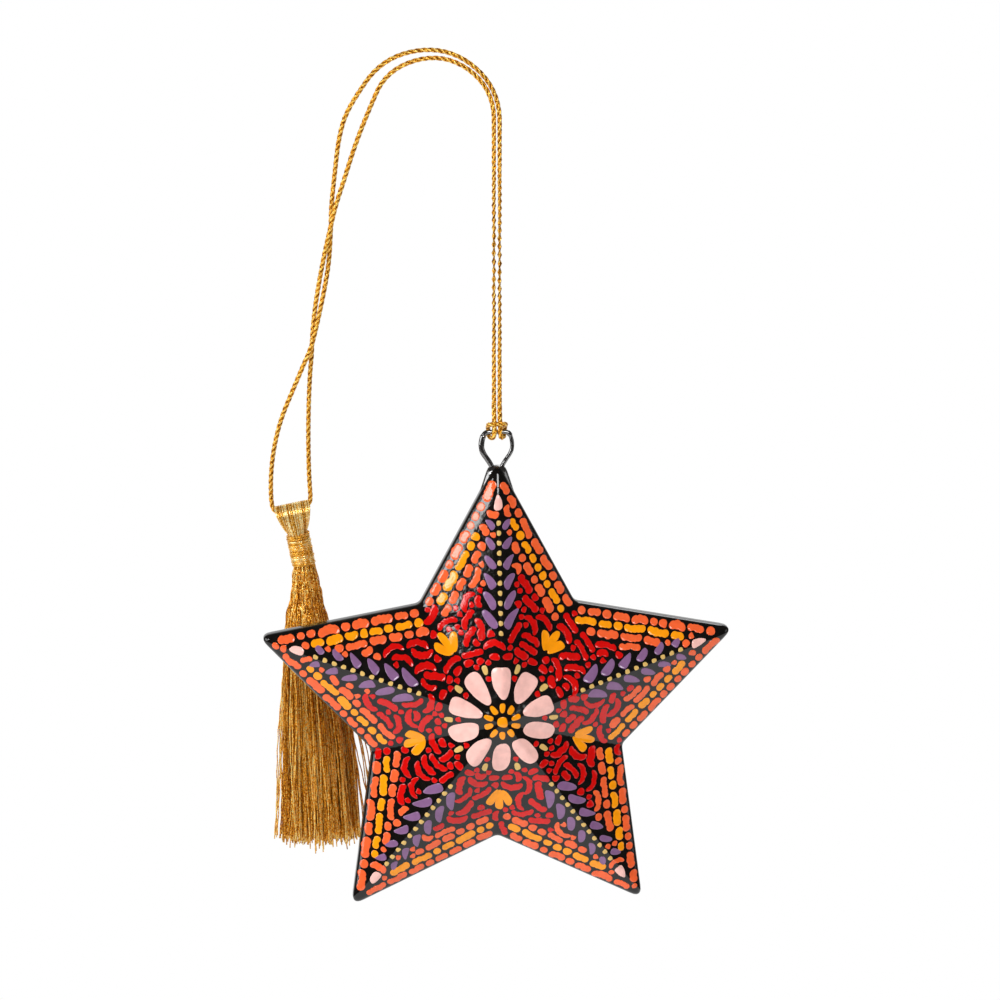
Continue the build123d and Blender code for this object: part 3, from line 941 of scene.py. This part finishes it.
def head_thread(place, depth):
    """A thread of the folded skein: up the front, over the cord and down the back, this deep in the skein."""
    fold = FOLD_DEPTH - depth
    arch = HEAD_TOP + HEAD_SHOULDER - depth
    neck = NECK_RADIUS - depth
    turn = NECK_TURN * place
    foot = -HEAD_HEIGHT - NECK_LENGTH

    def across(height):
        flare = min(max(0.0, 1 + height / BIND_TOP), 1.0) ** HEAD_FLARE
        return neck * math.sin(turn) * (1 - flare) + HEAD_HALF * place * flare

    front = []
    for k in range(HEAD_STEPS + 1):
        height = foot + (-HEAD_SHOULDER - foot) * k / HEAD_STEPS
        share = smooth(max(0.0, (height + BIND_TOP) / (BIND_TOP - HEAD_SHOULDER)))
        deep = neck * math.cos(turn) * (1 - share) + fold * share
        front.append(Vector((across(height), -deep, height)))
    over = []
    for k in range(1, ARCH_STEPS):
        bend = math.pi * k / ARCH_STEPS
        height = arch * math.sin(bend) - HEAD_SHOULDER
        over.append(Vector((across(height), -fold * math.cos(bend), height)))
    back = [Vector((p.x, -p.y, p.z)) for p in reversed(front)]
    return [HEAD_PLACE @ p for p in front + over + back]


def add_tassel_head():
    """The skein folded over the cord, thread by thread in layers."""
    rng = random.Random(5)
    form = Form()
    for layer in range(HEAD_LAYERS):
        for k in range(HEAD_THREADS):
            place = -1 + (2 * k + 1) / HEAD_THREADS
            depth = HEAD_THREAD + LAYER_STEP * layer + rng.uniform(-HEAD_PLAY, HEAD_PLAY)
            add_thread(form, head_thread(place, depth), HEAD_THREAD, HEAD_SIDES, rng.uniform(0.05, 0.95))
    head = form.piece("tassel_fold", binding_gold, "gold_thread")
    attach(head, "tassel")
    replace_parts(head, "tassel_head")


def add_neck_binding():
    """Thread wound close round the neck, with a few steeper turns over it."""
    top, bottom = -BIND_TOP - BIND_THREAD, -HEAD_HEIGHT - NECK_LENGTH + BIND_THREAD
    form = Form()
    for thread, turns, start, end, radius in (
        (BIND_THREAD, BIND_TURNS, top, bottom, NECK_RADIUS + BIND_THREAD),
        (CROSS_THREAD, CROSS_TURNS, bottom, top, NECK_RADIUS + CROSS_REACH * BIND_THREAD),
    ):
        points, shades = [], []
        for k in range(turns * BIND_STEPS + 1):
            turn = 2 * math.pi * k / BIND_STEPS
            height = start + (end - start) * k / (turns * BIND_STEPS)
            height += BIND_WANDER * noise.noise(Vector((turn * 0.4, thread, 2.3)))
            reach = radius + BIND_UNEVEN * noise.noise(Vector((turn * 0.9, 4.1, thread)))
            points.append(HEAD_PLACE @ Vector((reach * math.cos(turn), reach * math.sin(turn), height)))
            shades.append([0.55 + 0.4 * noise.noise(Vector((k * 0.05, 1.7, thread)))] * BIND_SIDES)
        add_thread(form, points, thread, BIND_SIDES, shades)
    binding = form.piece("neck_binding", binding_gold, "gold_binding")
    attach(binding, "tassel")
    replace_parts(binding, "tassel_neck_binding")


def eased_line(knots, steps):
    """Smooth line through a few points."""
    ends = [knots[0] * 2 - knots[1], *knots, knots[-1] * 2 - knots[-2]]
    line = []
    for a, b, c, d in zip(ends, ends[1:], ends[2:], ends[3:]):
        for k in range(steps):
            t = k / steps
            square, cube = a * 2 - b * 5 + c * 4 - d, b * 3 - a - c * 3 + d
            line.append((b * 2 + (c - a) * t + square * t**2 + cube * t**3) / 2)
    return line + [knots[-1]]


def skirt_thread(rng, share, turn, flare):
    """A cut thread of the skirt, from inside the binding to its end."""
    neck = NECK_RADIUS - SKIRT_THREAD
    knots = []
    for down, wide in SKIRT_ROOTS:
        reach = wide * neck * share
        height = -HEAD_HEIGHT - down * NECK_LENGTH
        knots.append(HEAD_PLACE @ Vector((reach * math.cos(turn), reach * math.sin(turn), height)))
    for level, (height, place, half_width, half_depth, loose) in enumerate(SKIRT_LEVELS):
        wide = 1 + flare * max(0, level - STRAY_LEVEL)
        knots.append(Vector((
            place + half_width * share * wide * math.cos(turn) + rng.gauss(0, loose),
            TASSEL.y + half_depth * share * math.sin(turn) + rng.gauss(0, loose),
            height + rng.gauss(0, SKIRT_UNEVEN),
        )))
    starts = [rng.uniform(0, 2 * math.pi) for _ in range(2)]
    rate = rng.uniform(*CRIMP_RATES)
    points = eased_line(knots, SKIRT_STEPS)
    waves = [[math.sin(rate * p.z + start) for start in starts] for p in points]
    return [p + Vector((CRIMP * across, CRIMP * deep, 0)) for p, (across, deep) in zip(points, waves)]


def add_skirt():
    """Cut threads that fall from the binding in loose bunches, with a few strays on both sides."""
    rng = random.Random(11)
    golden = math.pi * (3 - math.sqrt(5))
    threads = []
    for lock in range(SKIRT_LOCKS):
        share = math.sqrt((lock + 0.5) / SKIRT_LOCKS)
        threads += [skirt_thread(rng, share, lock * golden, 0.0) for _ in range(LOCK_THREADS)]
    for side, flare in STRAYS:
        for _ in range(STRAY_COUNT):
            turn = side + rng.uniform(-STRAY_SPREAD, STRAY_SPREAD)
            threads.append(skirt_thread(rng, 1.0, turn, flare))
    form = Form()
    for thread in threads:
        add_thread(form, thread, SKIRT_THREAD, SKIRT_SIDES, rng.uniform(0.1, 0.9))
    skirt = form.piece("skirt", thread_gold, "gold_thread")
    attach(skirt, "tassel")
    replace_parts(skirt, "tassel_skirt")


add_tassel_head()
add_neck_binding()
add_skirt()


def add_camera():
    """The photograph's view."""
    lens = bpy.data.cameras.new("camera")
    lens.lens = CAMERA_LENS
    lens.sensor_width = SENSOR
    lens.clip_start = CLIP_START
    camera = bpy.data.objects.new("camera", lens)
    camera.location = Vector(CAMERA_PLACE) * MM
    camera.rotation_euler = (math.radians(90 - CAMERA_ELEVATION), 0, math.radians(CAMERA_AZIMUTH))
    bpy.context.collection.objects.link(camera)
    bpy.context.scene.camera = camera


def seen_white(tree):
    """1 for what the camera, a reflection or a clear surface looks at, 0 for light that falls on things."""
    path = tree.nodes.new("ShaderNodeLightPath")
    total = path.outputs["Is Camera Ray"]
    for other in ("Is Glossy Ray", "Is Transmission Ray"):
        total = combine(tree, "MAXIMUM", total, path.outputs[other])
    return total


def add_floor():
    """Pale floor well below the star, white to the eye, with the star's faint shadow on it."""
    finish = Finish("floor", "#f2f2f2", 0.9)
    tree = finish.tree
    white = finish.node("ShaderNodeEmission", color=(1, 1, 1, 1), strength=1.0)
    place = finish.node("ShaderNodeTexCoord").outputs["Object"]
    away = finish.node("ShaderNodeVectorMath")
    away.operation = "LENGTH"
    tree.links.new(place, away.inputs[0])
    share = map_range(tree, away.outputs["Value"], *SHADOW_REACH, SHADOW_WHITE, 1.0)
    factor = combine(tree, "MULTIPLY", seen_white(tree), share)
    mix_surface(tree, "Material Output", factor, finish.shader.outputs[0], white.outputs[0])
    turns = [2 * math.pi * k / FLOOR_SIDES for k in range(FLOOR_SIDES)]
    mesh = bpy.data.meshes.new("floor")
    rim = [(FLOOR_RADIUS * MM * math.cos(t), FLOOR_RADIUS * MM * math.sin(t), 0) for t in turns]
    mesh.from_pydata(rim, [], [tuple(range(FLOOR_SIDES))])
    mesh.materials.append(finish.material)
    floor = bpy.data.objects.new("floor", mesh)
    floor.location = (0, 0, FLOOR_HEIGHT * MM)
    bpy.context.collection.objects.link(floor)


def add_lamp(name, place, size, power):
    """Soft square lamp that faces the star; place is in metres from the star's middle."""
    light = bpy.data.lights.new(name, "AREA")
    light.size = size
    light.energy = power
    lamp = bpy.data.objects.new(name, light)
    lamp.location = STAR_CENTRE * MM + Vector(place)
    lamp.rotation_euler = Vector(place).to_track_quat("Z", "Y").to_euler()
    bpy.context.collection.objects.link(lamp)


def add_world():
    """White surroundings to the eye, dim in front in reflections; the light comes more from the left."""
    world = bpy.data.worlds.new("surroundings")
    bpy.context.scene.world = world
    world.use_nodes = True
    tree = world.node_tree
    ambient = tree.nodes["Background"]
    ambient.inputs["Color"].default_value = (1, 1, 1, 1)
    way = tree.nodes.new("ShaderNodeTexCoord")
    split = tree.nodes.new("ShaderNodeSeparateXYZ")
    tree.links.new(way.outputs["Generated"], split.inputs[0])
    feed(tree, ambient.inputs["Strength"], map_range(tree, split.outputs["X"], -1.0, 1.0, *AMBIENT))
    behind = map_range(tree, split.outputs["Y"], MIRRORED_BACK, 1.0, MIRRORED_FRONT, 1.0)
    path = tree.nodes.new("ShaderNodeLightPath")
    seen = tree.nodes.new("ShaderNodeBackground")
    seen.inputs["Color"].default_value = (1, 1, 1, 1)
    feed(tree, seen.inputs["Strength"], combine(tree, "MAXIMUM", path.outputs["Is Camera Ray"], behind))
    mix_surface(tree, "World Output", seen_white(tree), ambient.outputs[0], seen.outputs[0])


add_camera()
add_floor()
add_world()
for lamp_name, lamp_values in LAMPS.items():
    add_lamp(lamp_name, *lamp_values)

bpy.context.scene.view_settings.view_transform = "Standard"
